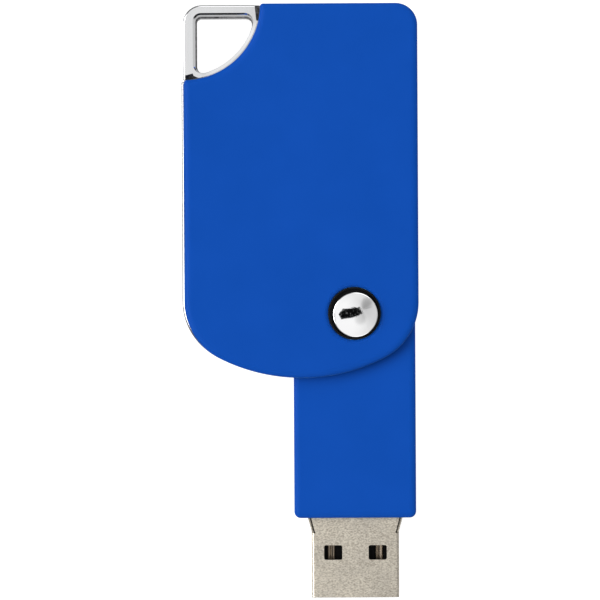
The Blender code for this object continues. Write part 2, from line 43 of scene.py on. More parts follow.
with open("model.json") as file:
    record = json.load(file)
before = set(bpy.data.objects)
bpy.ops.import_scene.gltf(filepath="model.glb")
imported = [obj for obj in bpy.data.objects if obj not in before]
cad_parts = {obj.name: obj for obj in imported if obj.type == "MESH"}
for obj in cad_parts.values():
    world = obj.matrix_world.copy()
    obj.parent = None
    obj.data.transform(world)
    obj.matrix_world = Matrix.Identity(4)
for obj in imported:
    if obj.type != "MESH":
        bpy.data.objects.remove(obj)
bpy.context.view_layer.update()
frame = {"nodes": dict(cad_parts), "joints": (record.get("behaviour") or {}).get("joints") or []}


def span(node):
    """A CAD node's lowest and highest corners."""
    low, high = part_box(node)
    return low / MM, high / MM


# Cover plates
(COVER_LEFT, COVER_BOTTOM, _), (COVER_RIGHT, COVER_TOP, FRONT_FACE) = span("front_cover")
BACK_FACE = span("back_cover")[0].z
COVER_X = (COVER_LEFT + COVER_RIGHT) / 2
COVER_HALF = (COVER_RIGHT - COVER_LEFT) / 2
PLATE = 1.5
BOTTOM_R, CORNER_R, TOP_R = 24.9, 8.55, 3.0
BOTTOM_CENTRE = Vector((COVER_X, COVER_BOTTOM + BOTTOM_R))
TOP_CORNER = Vector((COVER_RIGHT - TOP_R, COVER_TOP - TOP_R))
OUTER_EDGE, INNER_EDGE, MOUTH_EDGE = (0.95, 0.45), (0.12, 0.12), (0.6, 0.45)    # (reach, drop)
NOTCH = Vector((COVER_LEFT + 0.08, COVER_TOP - 0.03))
NOTCH_R = 10.4
TIP_R = 0.4
PLATE_HOLE_R = 3.6
RIB, RIB_EDGE_R = ((-2.4, -7.0), (-1.4, 36.5)), 0.1
ROOT = PLATE / 5        # how deep a rib or a peg is rooted in its plate
SPLIT_Z = (FRONT_FACE + BACK_FACE) / 2
SPLIT_GAP = 0.05
PEG_R, PEG_LENGTH = 0.65, 2.9
LUG_R, LUG_BORE_R = 1.3, 0.8
LUG_SPOTS = ((-14.0, 22.0), (-14.0, 4.0), (-3.6, 38.9), (-8.0, -6.9), (12.8, 39.25))

# Frame
(BAND_LEFT, _, LOOP_LOW), (_, LOOP_TOP, LOOP_HIGH) = span("keyring_frame")
BAND_LOW, BAND_HIGH = 1.6, 8.4
BAND_WALL = 1.2
BAND_TOP, BAND_STOP_X = 30.2, -1.4
TOP_INSET, TOP_EDGE = 0.15, (0.2, 0.2)
LOOP_LEFT = COVER_LEFT - 0.15
LOOP_R = NOTCH_R - 0.1
LOOP_CORNER_R = 2.6
COLLAR_R, COLLAR_TURN = (9.82, 11.6), (-89.5, -2)
HOLE_LEFT, HOLE_TOP, HOLE_R = -14.26, 39.29, 9.8
HOLE_CORNER_R, HOLE_TIP_R = 0.8, 1.1
LIP = 0.3
PARTING_RIDGE = 0.17    # how far the casting's parting line stands into the hole
RIDGE_FOOT, RIDGE_TOP = 0.24, 0.08      # how far up and down from mid height its foot and its top reach
RIM_FALL = 0.08         # how far the loop's curved rim falls towards its hole
LOOP_MIDDLE = (LOOP_LOW + LOOP_HIGH) / 2
LOOP_GAPS = (           # plans of the gaps between the plates and the loop's upper bar, then its left bar
    ((-6.12, 41.2), (-5.86, 38.5), (-5.0, 38.5), (-5.0, 41.2)),
    ((-15.62, 29.9), (-13.5, 29.9), (-13.6, 30.6), (-14.45, 30.95), (-14.6, 31.28), (-15.62, 31.02)),
)
GAP_DEPTH = 1.4

# The casting's edges, as (inset, fall) from a face over to the wall. Both have a fine facet between two
# small curves. The band's face also falls away towards the plate.
FACET = ((0.19, 0.025), (0.16, 0.048), (0.05, 0.146), (0.02, 0.18), (0, 0.25))
LOOP_EDGE = ((0.31, 0), (0.28, 0), (0.23, 0.01), *FACET)
BAND_EDGE = ((0.62, 0.1), (0.4, 0.055), (0.31, 0.02), (0.26, 0), (0.22, 0.006), *FACET)

# Pivot
PIVOT = Vector(frame["joints"][0]["pos_m"][:2]) / MM
(CAP_LEFT, CAP_FRONT, CAP_LOW), (CAP_RIGHT, CAP_BACK, CAP_APEX) = span("pivot_cap")
CAP_CENTRE = Vector((CAP_LEFT + CAP_RIGHT, CAP_FRONT + CAP_BACK)) / 2
CAP_R = (CAP_RIGHT - CAP_LEFT) / 2
CAP_TOP = CAP_CENTRE + Vector((0.92, 0.7))
CAP_BORE_R, CAP_ROOF = 2.05, 0.65
SHAFT_R, SLEEVE_R = 1.72, 1.8
HEAD_R, HEAD_SEAT = 3.02, 0.95
DIMPLE_R, DIMPLE = 0.9, 0.2
BUSH_R, BUSH_INNER_R, BUSH_FLOOR = 3.58, 3.3, 0.42

# Stick, in its own frame: the pivot is its origin and it points to -Y
(STICK_LEFT, STICK_BOTTOM, _), (STICK_RIGHT, _, STICK_HIGH) = span("stick_front_shell")
STICK_LOW = span("stick_back_shell")[0].z
STICK_HALF = (STICK_RIGHT - STICK_LEFT) / 2
STICK_END = STICK_BOTTOM - PIVOT.y
STICK_CORNER_R = 0.9
STICK_EDGE, SPLIT_EDGE = (0.9, 0.45), (0.08, 0.08)
CASE_WALL, END_WALL = 1.2, 1.0
CAVITY_LOW, CAVITY_HIGH, CAVITY_CORNER_R = 2.6, 7.4, 0.3
BOSS_R, BOSS_BORE_R = 4.6, 2.65
WASHER_SEAT_R, WASHER_SEAT = 4.2, 0.35
APERTURE_HALF = 6.75
APERTURE_LOW, APERTURE_HIGH = 2.65, 7.35

# USB-A plug, in the stick's frame
(_, PLUG_TIP_Y, PLUG_LOW), (_, PLUG_REAR_Y, PLUG_HIGH) = span("usb_shell")
PLUG_TIP, PLUG_REAR = PLUG_TIP_Y - PIVOT.y, PLUG_REAR_Y - PIVOT.y
PLUG_HALF, FLARE_HALF = 6.0, 6.53
FLARE_START = STICK_END - 1.95
SHEET = 0.3
PLUG_CORNER_R = 0.35
WINDOW = (2.5, 2.0)
WINDOW_X, WINDOW_FROM_TIP, WINDOW_R = 3.06, 5.2, 0.25
TONGUE_HALF, TONGUE_REAR, TONGUE_LOW, TONGUE_HIGH = 5.6, -21.4, 3.15, 5.0
BLOCK_HIGH, BLOCK_EDGE = 6.8, (0.08, 0.08)
GROOVE_HALF, GROOVE_LOW = 0.6, 4.85
CONTACT_LOW, CONTACT_HIGH = 4.9, 5.08
CONTACTS = ((-3.3, 0.85), (-1.0, 1.85), (1.0, 1.85), (3.3, 0.85))   # (place across, how far behind the tip)


# ---------------------------------------------------------------- outlines

def polar(centre, radius, degrees):
    """The point at a distance and an angle from a centre."""
    angle = math.radians(degrees)
    return Vector(centre) + radius * Vector((math.cos(angle), math.sin(angle)))


def arc(centre, radius, start, end, count):
    """Points from one angle to another, in degrees."""
    return [polar(centre, radius, start + (end - start) * i / count) for i in range(count + 1)]


def joined(*paths):
    """The paths one after the other as a closed outline, without points that repeat."""
    points = []
    for point in (Vector(p) for path in paths for p in path):
        if not points or (point - points[-1]).length > CLOSE:
            points.append(point)
    if (points[0] - points[-1]).length < CLOSE:
        points.pop()
    return points


def circle(centre, radius, count=96):
    return arc(centre, radius, 0, 360, count)[:-1]


def rounded_box(low, high, radius, count=6):
    (left, bottom), (right, top) = low, high
    return joined(
        arc((right - radius, top - radius), radius, 0, 90, count),
        arc((left + radius, top - radius), radius, 90, 180, count),
        arc((left + radius, bottom + radius), radius, 180, 270, count),
        arc((right - radius, bottom + radius), radius, 270, 360, count),
    )


def offset(outline, inset):
    """The outline moved to its left: inwards if it runs anticlockwise."""
    moved = []
    for before, point, after in zip(outline[-1:] + outline[:-1], outline, outline[1:] + outline[:1]):
        first, second = (point - before).normalized(), (after - point).normalized()
        across = (first + second).normalized().orthogonal()
        moved.append(point + across * inset / max(0.3, across.dot(first.orthogonal())))
    return moved


def soft(path, radii, steps=5):
    """An open path with its inner corners rounded."""
    rounded = [Vector(path[0])]
    for before, corner, after, radius in zip(path, path[1:], path[2:], radii):
        corner = Vector(corner)
        back, ahead = Vector(before) - corner, Vector(after) - corner
        reach = min(radius / math.tan(back.angle(ahead) / 2), 0.49 * back.length, 0.49 * ahead.length)
        start, end = corner + back.normalized() * reach, corner + ahead.normalized() * reach
        for i in range(steps + 1):
            t = i / steps
            rounded.append((1 - t) ** 2 * start + 2 * t * (1 - t) * corner + t ** 2 * end)
    return rounded + [Vector(path[-1])]


def edge_path(low, high, low_edge, high_edge, steps=8):
    """A wall's (inset, height) path from the lower face to the upper one. Each edge is a quarter of an
    ellipse, given by its reach over the face and its drop down the wall."""
    def quarter(reach, drop):
        turns = [math.radians(90 * i / steps) for i in range(steps + 1)]
        curve = [(reach * (1 - math.sin(turn)), drop * (1 - math.cos(turn))) for turn in turns]
        return [(reach + MARGIN, 0)] + curve

    under = [(inset, low + rise) for inset, rise in quarter(*low_edge)]
    over = [(inset, high - fall) for inset, fall in quarter(*high_edge)]
    return under + over[::-1]


def cast_path(low, high, edge):
    """A casting's (inset, height) path from the lower face to the upper one, with the same edge on both."""
    under = [(inset, low + fall) for inset, fall in edge]
    over = [(inset, high - fall) for inset, fall in edge]
    return under + over[::-1]


def wall(outline, path):
    """Rings for a slab: an outline, or a function that draws it with an inset, along a wall's path."""
    if callable(outline):
        return [(outline(inset), height) for inset, height in path]
    return [(offset(outline, inset), height) for inset, height in path]


def lower_corner(half):
    """How far out and how high a lower corner arc's centre is, and the angle of the arc's lower end."""
    across = half - CORNER_R
    down = math.sqrt((BOTTOM_R - CORNER_R) ** 2 - across ** 2)
    return across, BOTTOM_CENTRE.y - down, math.degrees(math.atan2(-down, across))


def cover_outline(inset):
    """A cover plate's plan, drawn in by inset."""
    across, corner_y, tangent = lower_corner(COVER_HALF)
    tip_r = max(TIP_R - inset, 0.05)
    reach = NOTCH_R + inset + tip_r
    top_angle = math.degrees(math.asin((COVER_TOP - inset - tip_r - NOTCH.y) / reach))
    left_angle = -math.degrees(math.acos((COVER_LEFT + inset + tip_r - NOTCH.x) / reach))
    return joined(
        arc(BOTTOM_CENTRE, BOTTOM_R - inset, -180 - tangent, tangent, 40),
        arc((COVER_X + across, corner_y), CORNER_R - inset, tangent, 0, 24),
        arc(TOP_CORNER, TOP_R - inset, 0, 90, 20),
        arc(polar(NOTCH, reach, top_angle), tip_r, 90, 180 + top_angle, 8),
        arc(NOTCH, NOTCH_R + inset, top_angle, left_angle, 48),
        arc(polar(NOTCH, reach, left_angle), tip_r, 180 + left_angle, 180, 8),
        arc((COVER_X - across, corner_y), CORNER_R - inset, -180, -180 - tangent, 24),
    )


def quarter_outline(left, top, radius, corner_r, tip_r):
    """A quarter-round: straight left and top sides, and an arc about the notch's centre."""
    reach = radius - tip_r
    top_angle = math.degrees(math.asin((top - tip_r - NOTCH.y) / reach))
    left_angle = -math.degrees(math.acos((left + tip_r - NOTCH.x) / reach))
    return joined(
        arc(NOTCH, radius, left_angle, top_angle, 48),
        arc(polar(NOTCH, reach, top_angle), tip_r, top_angle, 90, 10),
        arc((left + corner_r, top - corner_r), corner_r, 90, 180, 16),
        arc(polar(NOTCH, reach, left_angle), tip_r, 180, 360 + left_angle, 10),
    )


def side_band_edge(inset):
    """One side of the band that wraps the left edge and the lower left of the cover, as an open path."""
    half = COVER_X - BAND_LEFT
    across, corner_y, tangent = lower_corner(half)
    stop = -math.degrees(math.acos((BAND_STOP_X - COVER_X) / (BOTTOM_R - inset)))
    return joined(
        [(BAND_LEFT + inset, BAND_TOP)],
        arc((COVER_X - across, corner_y), CORNER_R - inset, -180, -180 - tangent, 24),
        arc(BOTTOM_CENTRE, BOTTOM_R - inset, -180 - tangent, stop, 20),
    )


def top_band_outline():
    """The band behind the plates' upper edge, from the loop round the upper right corner."""
    start_x, outer = NOTCH.x + LOOP_R - TOP_INSET, COVER_TOP - TOP_INSET
    corner_r = TOP_R - TOP_INSET
    return joined(
        [(start_x, outer - BAND_WALL)],
        arc(TOP_CORNER, corner_r - BAND_WALL, 90, 0, 12),
        arc(TOP_CORNER, corner_r, 0, 90, 16),
        [(start_x, outer)],
    )


def stick_outline(inset, end=STICK_END, corner_r=STICK_CORNER_R):
    """The stick's round-ended plan, drawn in by inset."""
    half = STICK_HALF - inset
    end, corner_r = end + inset, max(corner_r - inset, 0.05)
    return joined(
        arc((0, 0), half, 0, 180, 60),
        arc((-half + corner_r, end + corner_r), corner_r, 180, 270, 8),
        arc((half - corner_r, end + corner_r), corner_r, 270, 360, 8),
    )


# ---------------------------------------------------------------- meshes

def bridge(solid, loops):
    """Faces between neighbouring loops, which have the same number of points."""
    for lower, upper in zip(loops, loops[1:]):
        for i in range(len(lower)):
            solid.faces.new((lower[i - 1], lower[i], upper[i], upper[i - 1]))


def weld(solid):
    """Join points that nearly meet, and drop slivers and loose edges."""
    bmesh.ops.remove_doubles(solid, verts=solid.verts, dist=CLOSE)
    bmesh.ops.dissolve_degenerate(solid, dist=CLOSE, edges=solid.edges)
    loose = [edge for edge in solid.edges if not edge.link_faces]
    bmesh.ops.delete(solid, geom=loose, context="EDGES")


def new_object(name, solid, look=None):
    """An object from a bmesh, which is welded, turned outwards and freed."""
    weld(solid)
    bmesh.ops.recalc_face_normals(solid, faces=solid.faces)
    mesh = bpy.data.meshes.new(name)
    solid.to_mesh(mesh)
    solid.free()
    if look:
        mesh.materials.append(look)
    made = bpy.data.objects.new(name, mesh)
    bpy.context.scene.collection.objects.link(made)
    return made


def slab(name, walls, look=None):
    """A solid between two flat faces. A wall is a list of (outline, height) rings from the lower face to
    the upper one: the outside first, then any holes, whose outlines run clockwise."""
    solid = bmesh.new()
    caps = ([], [])
    for rings in walls:
        loops = [[solid.verts.new((*point, height)) for point in outline] for outline, height in rings]
        bridge(solid, loops)
        for cap, loop in zip(caps, (loops[0], loops[-1])):
            cap.extend(solid.edges.get((loop[i - 1], loop[i])) for i in range(len(loop)))
    for cap in caps:
        bmesh.ops.triangle_fill(solid, edges=cap, use_beauty=True)
    return new_object(name, solid, look)


def block(name, low, high, radius, look=None):
    """A box with all its edges rounded."""
    outline = rounded_box(low[:2], high[:2], radius + 2 * MARGIN)
    edge = (radius, radius)
    return slab(name, [wall(outline, edge_path(low[2], high[2], edge, edge, 5))], look)


def lathe(name, centre, profile, look=None, count=96):
    """A closed profile of (radius, height) points turned about the vertical through a centre."""
    solid = bmesh.new()
    loops = [
        [solid.verts.new((*polar(centre, radius, 360 * i / count), height)) for i in range(count)]
        for radius, height in profile
    ]
    bridge(solid, loops + loops[:1])
    return new_object(name, solid, look)


def loft(name, rings, look=None, capped=True):
    """A solid through rings of 3-D points. Without caps the last ring joins the first."""
    solid = bmesh.new()
    loops = [[solid.verts.new(point) for point in ring] for ring in rings]
    bridge(solid, loops if capped else loops + loops[:1])
    if capped:
        solid.faces.new(loops[0])
        solid.faces.new(loops[-1])
    return new_object(name, solid, look)


def carve(target, *tools, operation="DIFFERENCE"):
    """Cut the tools from the target, or join them to it, one after another, and remove them."""
    for tool in tools:
        step = target.modifiers.new("carve", "BOOLEAN")
        step.operation = operation
        step.solver = "MANIFOLD"
        step.material_mode = "TRANSFER"
        step.object = tool
        depsgraph = bpy.context.evaluated_depsgraph_get()
        target.data = bpy.data.meshes.new_from_object(target.evaluated_get(depsgraph))
        target.modifiers.clear()
        bpy.data.objects.remove(tool)


def unite(target, *tools):
    carve(target, *tools, operation="UNION")


def settle(piece, body, nodes, at=(0, 0), sharp=30):
    """Put a finished piece in place: in metres, shaded, riding on its body in the CAD nodes' stead."""
    piece.data.transform(Matrix.Scale(MM, 4) @ Matrix.Translation((*at, 0)))
    piece.data.shade_smooth()
    piece.data.set_sharp_from_angle(angle=math.radians(sharp))
    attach(piece, body)
    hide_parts(*nodes)


# ---------------------------------------------------------------- materials

def linear(*channels):
    """A display colour, 0 to 255, as linear light."""
    values = [channel / 255 for channel in channels]
    return (*[v / 12.92 if v <= 0.04045 else ((v + 0.055) / 1.055) ** 2.4 for v in values], 1)


class Look:
    """A Principled material with short calls for the nodes that feed it."""

    def __init__(self, name, colour, roughness, metallic=0.0, **constants):
        self.material = bpy.data.materials.new(name)
        self.material.use_nodes = True
        self.tree = self.material.node_tree
        self.shader = self.tree.nodes["Principled BSDF"]
        self.set("Base Color", colour)
        self.set("Roughness", roughness)
        self.set("Metallic", metallic)
        for socket, value in constants.items():
            self.set(socket.replace("_", " "), value)
        self.place = self.tree.nodes.new("ShaderNodeTexCoord").outputs["Object"]

    def set(self, socket, value, node=None):
        """Give a socket a constant or link another socket to it."""
        target = (node or self.shader).inputs[socket]
        if isinstance(value, bpy.types.NodeSocket):
            self.tree.links.new(value, target)
        else:
            target.default_value = value

    def stretched(self, x, y, z):
        """The object's own coordinates, scaled along each axis."""
        node = self.tree.nodes.new("ShaderNodeMapping")
        self.set("Vector", self.place, node)
        self.set("Scale", (x, y, z), node)
        return node.outputs["Vector"]

    def noise(self, size, detail=2.0, place=None):
        """Noise with features of about the given size in millimetres."""
        node = self.tree.nodes.new("ShaderNodeTexNoise")
        self.set("Vector", place or self.place, node)
        self.set("Scale", 1 / (size * MM), node)
        self.set("Detail", detail, node)
        return node.outputs["Fac"]

    def spokes(self, centre, count):
        """Uneven rays from a centre: noise along the angle about it."""
        node = self.tree.nodes.new("ShaderNodeMapping")
        self.set("Vector", self.place, node)
        self.set("Location", (-centre.x * MM, -centre.y * MM, 0), node)
        turn = self.tree.nodes.new("ShaderNodeTexGradient")
        turn.gradient_type = "RADIAL"
        self.set("Vector", node.outputs["Vector"], turn)
        rays = self.tree.nodes.new("ShaderNodeTexNoise")
        rays.noise_dimensions = "1D"
        self.set("W", turn.outputs["Fac"], rays)
        self.set("Scale", count, rays)
        return rays.outputs["Fac"]

    def cells(self, size):
        """Cells of about the given size in millimetres, as the distance from each one's centre."""
        node = self.tree.nodes.new("ShaderNodeTexVoronoi")
        self.set("Vector", self.place, node)
        self.set("Scale", 1 / (size * MM), node)
        return node.outputs["Distance"]

    def range(self, value, low, high, start=0.3, end=0.7):
        """A value from start to end as a number from low to high."""
        node = self.tree.nodes.new("ShaderNodeMapRange")
        self.set("Value", value, node)
        for socket, number in zip(("From Min", "From Max", "To Min", "To Max"), (start, end, low, high)):
            self.set(socket, number, node)
        return node.outputs["Result"]

    def mixed(self, factor, first, second):
        """The first colour where the factor is 0, the second where it is 1."""
        node = self.tree.nodes.new("ShaderNodeMix")
        node.data_type = "RGBA"
        for socket, value in ((0, factor), (6, first), (7, second)):
            self.set(socket, value, node)
        return node.outputs[2]

    def bump(self, height, depth, under=None):
        """Relief of the given depth in millimetres, over any earlier relief."""
        node = self.tree.nodes.new("ShaderNodeBump")
        self.set("Height", height, node)
        self.set("Distance", depth * MM, node)
        if under:
            self.set("Normal", under, node)
        self.set("Normal", node.outputs["Normal"])
        return node.outputs["Normal"]


def blue_plastic():
    """Matt, slightly soft-touch moulding with a fine spark-eroded grain and faint cloudiness."""
    look = Look("blue_soft_plastic", linear(5, 68, 159), 0.52, Specular_IOR_Level=0.06)
    look.set("Sheen Weight", 0.6)
    look.set("Sheen Roughness", 0.3)
    look.set("Sheen Tint", (0.3, 0.75, 1, 1))
    cloud = look.noise(7.0, 3.0)
    grain = look.noise(0.11, 2.0)
    look.set("Base Color", look.mixed(look.range(cloud, 0, 1), linear(4, 67, 157), linear(6, 69, 161)))
    look.set("Roughness", look.range(grain, 0.46, 0.6))
    look.bump(grain, 0.005, look.bump(look.noise(0.5, 1.0), 0.005))
    return look.material


def chrome():
    """Bright plating on a die casting: faint waviness and a few fine rubs."""
    look = Look("bright_chrome", (0.86, 0.865, 0.875, 1), 0.07, 1.0)
    rubs = look.noise(0.25, 3.0, look.stretched(1, 0.08, 1))
    look.set("Roughness", look.range(rubs, 0.05, 0.11, 0.4, 0.75))
    look.bump(rubs, 0.0004, look.bump(look.noise(3.0, 1.0), 0.004))
    return look.material


def turned_chrome():
    """The cap's polish, with faint marks that fan out from its top."""
    look = Look("turned_chrome", (0.88, 0.88, 0.885, 1), 0.03, 1.0)
    look.set("Roughness", look.range(look.noise(0.6, 3.0), 0.02, 0.05))
    look.bump(look.spokes(CAP_TOP, 26), 0.0016, look.bump(look.noise(0.5, 2.0), 0.0008))
    return look.material


def plug_nickel():
    """Matt nickel on rolled sheet: a sanded, slightly cloudy grain."""
    look = Look("matt_nickel", (0.6, 0.56, 0.48, 1), 0.34, 1.0)
    grain = look.noise(0.15, 3.0, look.stretched(0.55, 1, 1))
    cloud = look.noise(3.0, 2.0)
    base = look.mixed(look.range(cloud, 0, 1), (0.72, 0.665, 0.565, 1), (0.63, 0.585, 0.505, 1))
    worn = look.mixed(look.range(grain, 0.75, 0, 0.33, 0.62), base, (0.26, 0.225, 0.18, 1))
    look.set("Base Color", worn)
    look.set("Roughness", look.range(grain, 0.5, 0.36))
    look.bump(grain, 0.035)
    return look.material


def black_plastic():
    """Dull black moulding, for the rings round the rivet and the plug's insulator."""
    look = Look("black_plastic", linear(8, 8, 10), 0.5, Specular_IOR_Level=0.12)
    grain = look.noise(0.15, 2.0)
    look.set("Roughness", look.range(grain, 0.4, 0.6))
    look.bump(grain, 0.004)
    return look.material


def painted_gap_shade():
    """Painted shade: a mottled dark grey that stands in for the shade in the casting's gaps and for the
    dark line of shade and dark reflection over its parting ridge.
    """
    look = Look("painted_gap_shade", linear(92, 92, 95), 0.6, Specular_IOR_Level=0.4)
    grain = look.noise(0.3, 3.0)
    patches = look.range(grain, 0, 1, 0.35, 0.65)
    look.set("Base Color", look.mixed(patches, linear(66, 66, 68), linear(135, 134, 135)))
    look.bump(grain, 0.03)
    return look.material


def contact_gilt():
    """Thin gold plate on a drawn strip, its gold darkened as painted shade for the shadow deep inside the
    plug.
    """
    # painted shade: this base colour and the tint colours below are darker than the gold itself, for the
    # plug's shadow
    look = Look("contact_gilt", (0.36, 0.28, 0.21, 1), 0.28, 1.0)
    drawn = look.noise(0.12, 2.0, look.stretched(1, 0.05, 1))
    look.set("Roughness", look.range(drawn, 0.22, 0.36))
    tint = look.mixed(look.range(drawn, 0, 1), (0.3, 0.24, 0.175, 1), (0.3, 0.25, 0.2, 1))
    look.set("Base Color", tint)
    look.bump(drawn, 0.002)
    return look.material


def steel():
    """Plain steel with faint marks from its tool."""
    look = Look("rivet_steel", (0.5, 0.5, 0.51, 1), 0.25, 1.0)
    marks = look.noise(0.35, 3.0)
    look.set("Roughness", look.range(marks, 0.2, 0.38))
    look.bump(marks, 0.004)
    return look.material


def sintered_bronze():
    """Bronze with the small pores of pressed powder."""
    look = Look("sintered_bronze", linear(150, 112, 62), 0.45, 1.0)
    pores = look.cells(0.12)
    look.set("Base Color", look.mixed(look.range(pores, 0, 1), linear(96, 68, 36), linear(158, 120, 68)))
    look.bump(pores, 0.01)
    return look.material


def nylon():
    """Natural nylon, which lets a little light in."""
    look = Look("natural_nylon", linear(222, 218, 205), 0.5, Subsurface_Weight=0.2, Subsurface_Scale=0.001)
    look.bump(look.noise(0.2, 2.0), 0.004)
    return look.material


def solder_mask():
    """Green lacquer that shows a little of the board's weave."""
    look = Look("solder_mask", linear(18, 92, 52), 0.35)
    weave = look.noise(0.35, 2.0)
    look.set("Base Color", look.mixed(look.range(weave, 0, 1), linear(14, 84, 46), linear(24, 102, 60)))
    look.bump(weave, 0.006)
    return look.material


def chip_epoxy():
    """Black moulded epoxy with a fine grain."""
    look = Look("chip_epoxy", linear(26, 26, 28), 0.5)
    grain = look.noise(0.08, 2.0)
    look.set("Roughness", look.range(grain, 0.42, 0.6))
    look.bump(grain, 0.006)
    return look.material


def end_capped(name, body, roughness, axis):
    """A chip component: a ceramic body with tinned ends along one of its axes."""
    look = Look(name, body, roughness)
    own_box = look.tree.nodes.new("ShaderNodeTexCoord").outputs["Generated"]
    axes = look.tree.nodes.new("ShaderNodeSeparateXYZ")
    look.set("Vector", own_box, axes)
    ends = look.tree.nodes.new("ShaderNodeMath")
    ends.operation = "COMPARE"
    for socket, value in enumerate((axes.outputs[axis], 0.5, 0.29)):
        look.set(socket, value, ends)
    middle = ends.outputs["Value"]
    look.set("Base Color", look.mixed(middle, linear(206, 206, 204), body))
    look.set("Metallic", look.range(middle, 1, 0, 0, 1))
    look.bump(look.noise(0.1, 2.0), 0.004)
    return look.material


# ---------------------------------------------------------------- cover

def cover_plate(name, outer, look):
    """A plate with a rounded outer edge, the fold stop and its pegs, from its outer face inwards."""
    inward = 1 if outer < SPLIT_Z else -1
    inner = outer + inward * PLATE
    low, high = sorted((outer, inner))
    rim = edge_path(low, high, *[INNER_EDGE, OUTER_EDGE][::-inward])
    mouth = edge_path(low, high, *[FINE_EDGE, MOUTH_EDGE][::-inward])
    plate = slab(name, [wall(cover_outline, rim), wall(circle(PIVOT, PLATE_HOLE_R)[::-1], mouth)], look)
    root, tip = inner - inward * ROOT, inner + inward * PEG_LENGTH
    rib_low, rib_high = sorted((root, SPLIT_Z - inward * SPLIT_GAP))
    unite(plate, block(name + "_rib", (*RIB[0], rib_low), (*RIB[1], rib_high), RIB_EDGE_R))
    peg = soft([(0, root), (PEG_R, root), (PEG_R, tip), (0, tip)], (0.01, 0.2), 3)
    unite(plate, *[lathe(f"{name}_peg_{i}", spot, peg, count=32) for i, spot in enumerate(LUG_SPOTS)])
    return plate


def loop_body(look, dark):
    """The keyring loop: a softened outer edge, a chamfered lip, and a ridge half way down its hole."""
    def outer_ring(inset, height):
        left, top, radius, tip_r = LOOP_LEFT + inset, LOOP_TOP - inset, LOOP_R - 0.02, 0.05
        return quarter_outline(left, top, radius, LOOP_CORNER_R - inset, tip_r), height

    def hole_ring(lip, height, inset=0.0):
        left, top, radius = HOLE_LEFT - lip, HOLE_TOP + 0.9 * lip, HOLE_R + 0.1 * lip
        outline = quarter_outline(left, top, radius, HOLE_CORNER_R + lip, HOLE_TIP_R + lip / 2)
        return offset(outline[::-1], inset), height

    outside = [outer_ring(inset, height) for inset, height in cast_path(LOOP_LOW, LOOP_HIGH, LOOP_EDGE)]
    lip = [(LIP, 0, MARGIN), (LIP, 0, 0), (0.02, 0.235, 0), (0, 0.32, 0)]
    crest = [(-PARTING_RIDGE, rise) for rise in (-RIDGE_TOP, 0.02, RIDGE_TOP)]
    ridge = [(0, -RIDGE_FOOT), *crest, (0, RIDGE_FOOT)]
    inside = [hole_ring(out, LOOP_LOW + fall, inset) for out, fall, inset in lip]
    inside += [hole_ring(0, LOOP_MIDDLE + rise, inset) for inset, rise in ridge]
    inside += [hole_ring(out, LOOP_HIGH - fall, inset) for out, fall, inset in lip[::-1]]
    made = slab("chrome_frame", [outside, inside], look)
    slope_rim(made)
    # painted shade on the parting ridge's upper side
    paint_ridge_shade(made, dark)
    return made


def slope_rim(loop):
    """Let the loop's faces fall towards the hole along its curve, most half way along it."""
    below_face, inside_curve = 0.2, 0.6         # how far below a face and inside the curve this reaches
    for vertex in loop.data.vertices:
        point, spoke = vertex.co, vertex.co.xy - NOTCH
        on_face = min(point.z - LOOP_LOW, LOOP_HIGH - point.z) < below_face
        if on_face and -inside_curve < spoke.length - HOLE_R < LIP:
            arched = max(0, 1.3 * (2 * spoke.x * spoke.y / spoke.length_squared) ** 2 - 0.3)
            point.z += RIM_FALL * arched * (1 if point.z < LOOP_MIDDLE else -1)


def paint_ridge_shade(loop, dark):
    """Give the parting ridge's upper side the painted shade of the gaps, which stands in for its dark line
    of shade and dark reflection.
    """
    loop.data.materials.append(dark)
    for face in loop.data.polygons:
        # faces just above mid height take the painted shade
        if LOOP_MIDDLE + 0.03 < face.center.z < LOOP_MIDDLE + RIDGE_FOOT:
            face.material_index = 1


def chrome_frame(look, dark):
    """Loop, collar, bands and lugs in one casting, with gaps between the loop and the plates whose cut
    faces carry painted shade.
    """
    made = loop_body(look, dark)
    collar = arc(NOTCH, COLLAR_R[1], *COLLAR_TURN, 48) + arc(NOTCH, COLLAR_R[0], *COLLAR_TURN[::-1], 48)
    band = side_band_edge(0) + side_band_edge(BAND_WALL)[::-1]
    apart = 0.05        # keeps the joined pieces' faces off one plane
    collar_path = edge_path(BAND_LOW - apart, BAND_HIGH + apart, FINE_EDGE, FINE_EDGE)
    top_path = edge_path(BAND_LOW + 2 * apart, BAND_HIGH - 2 * apart, TOP_EDGE, TOP_EDGE)
    unite(
        made,
        slab("collar", [wall(collar, collar_path)]),
        slab("band", [wall(band, cast_path(BAND_LOW, BAND_HIGH, BAND_EDGE))]),
        slab("top_band", [wall(top_band_outline(), top_path)]),
    )
    low, high = BAND_LOW + 3 * apart, BAND_HIGH - 3 * apart
    lug = soft([(0, low), (LUG_R, low), (LUG_R, high), (0, high)], (0.08, 0.08), 3)
    unite(made, *[lathe(f"lug_{i}", spot, lug, count=48) for i, spot in enumerate(LUG_SPOTS)])
    bore = [(0, BACK_FACE), (LUG_BORE_R, BACK_FACE), (LUG_BORE_R, FRONT_FACE), (0, FRONT_FACE)]
    carve(made, *[lathe(f"bore_{i}", spot, bore, count=32) for i, spot in enumerate(LUG_SPOTS)])
    for gap in LOOP_GAPS:
        outline = [Vector(point) for point in gap]
        for low, high in ((LOOP_LOW - 1, LOOP_LOW + GAP_DEPTH), (LOOP_HIGH - GAP_DEPTH, LOOP_HIGH + 1)):
            # the tool's dark material passes to the cut faces: painted shade in the gaps
            carve(made, slab("gap", [[(outline, low), (outline, high)]], dark))
    return made


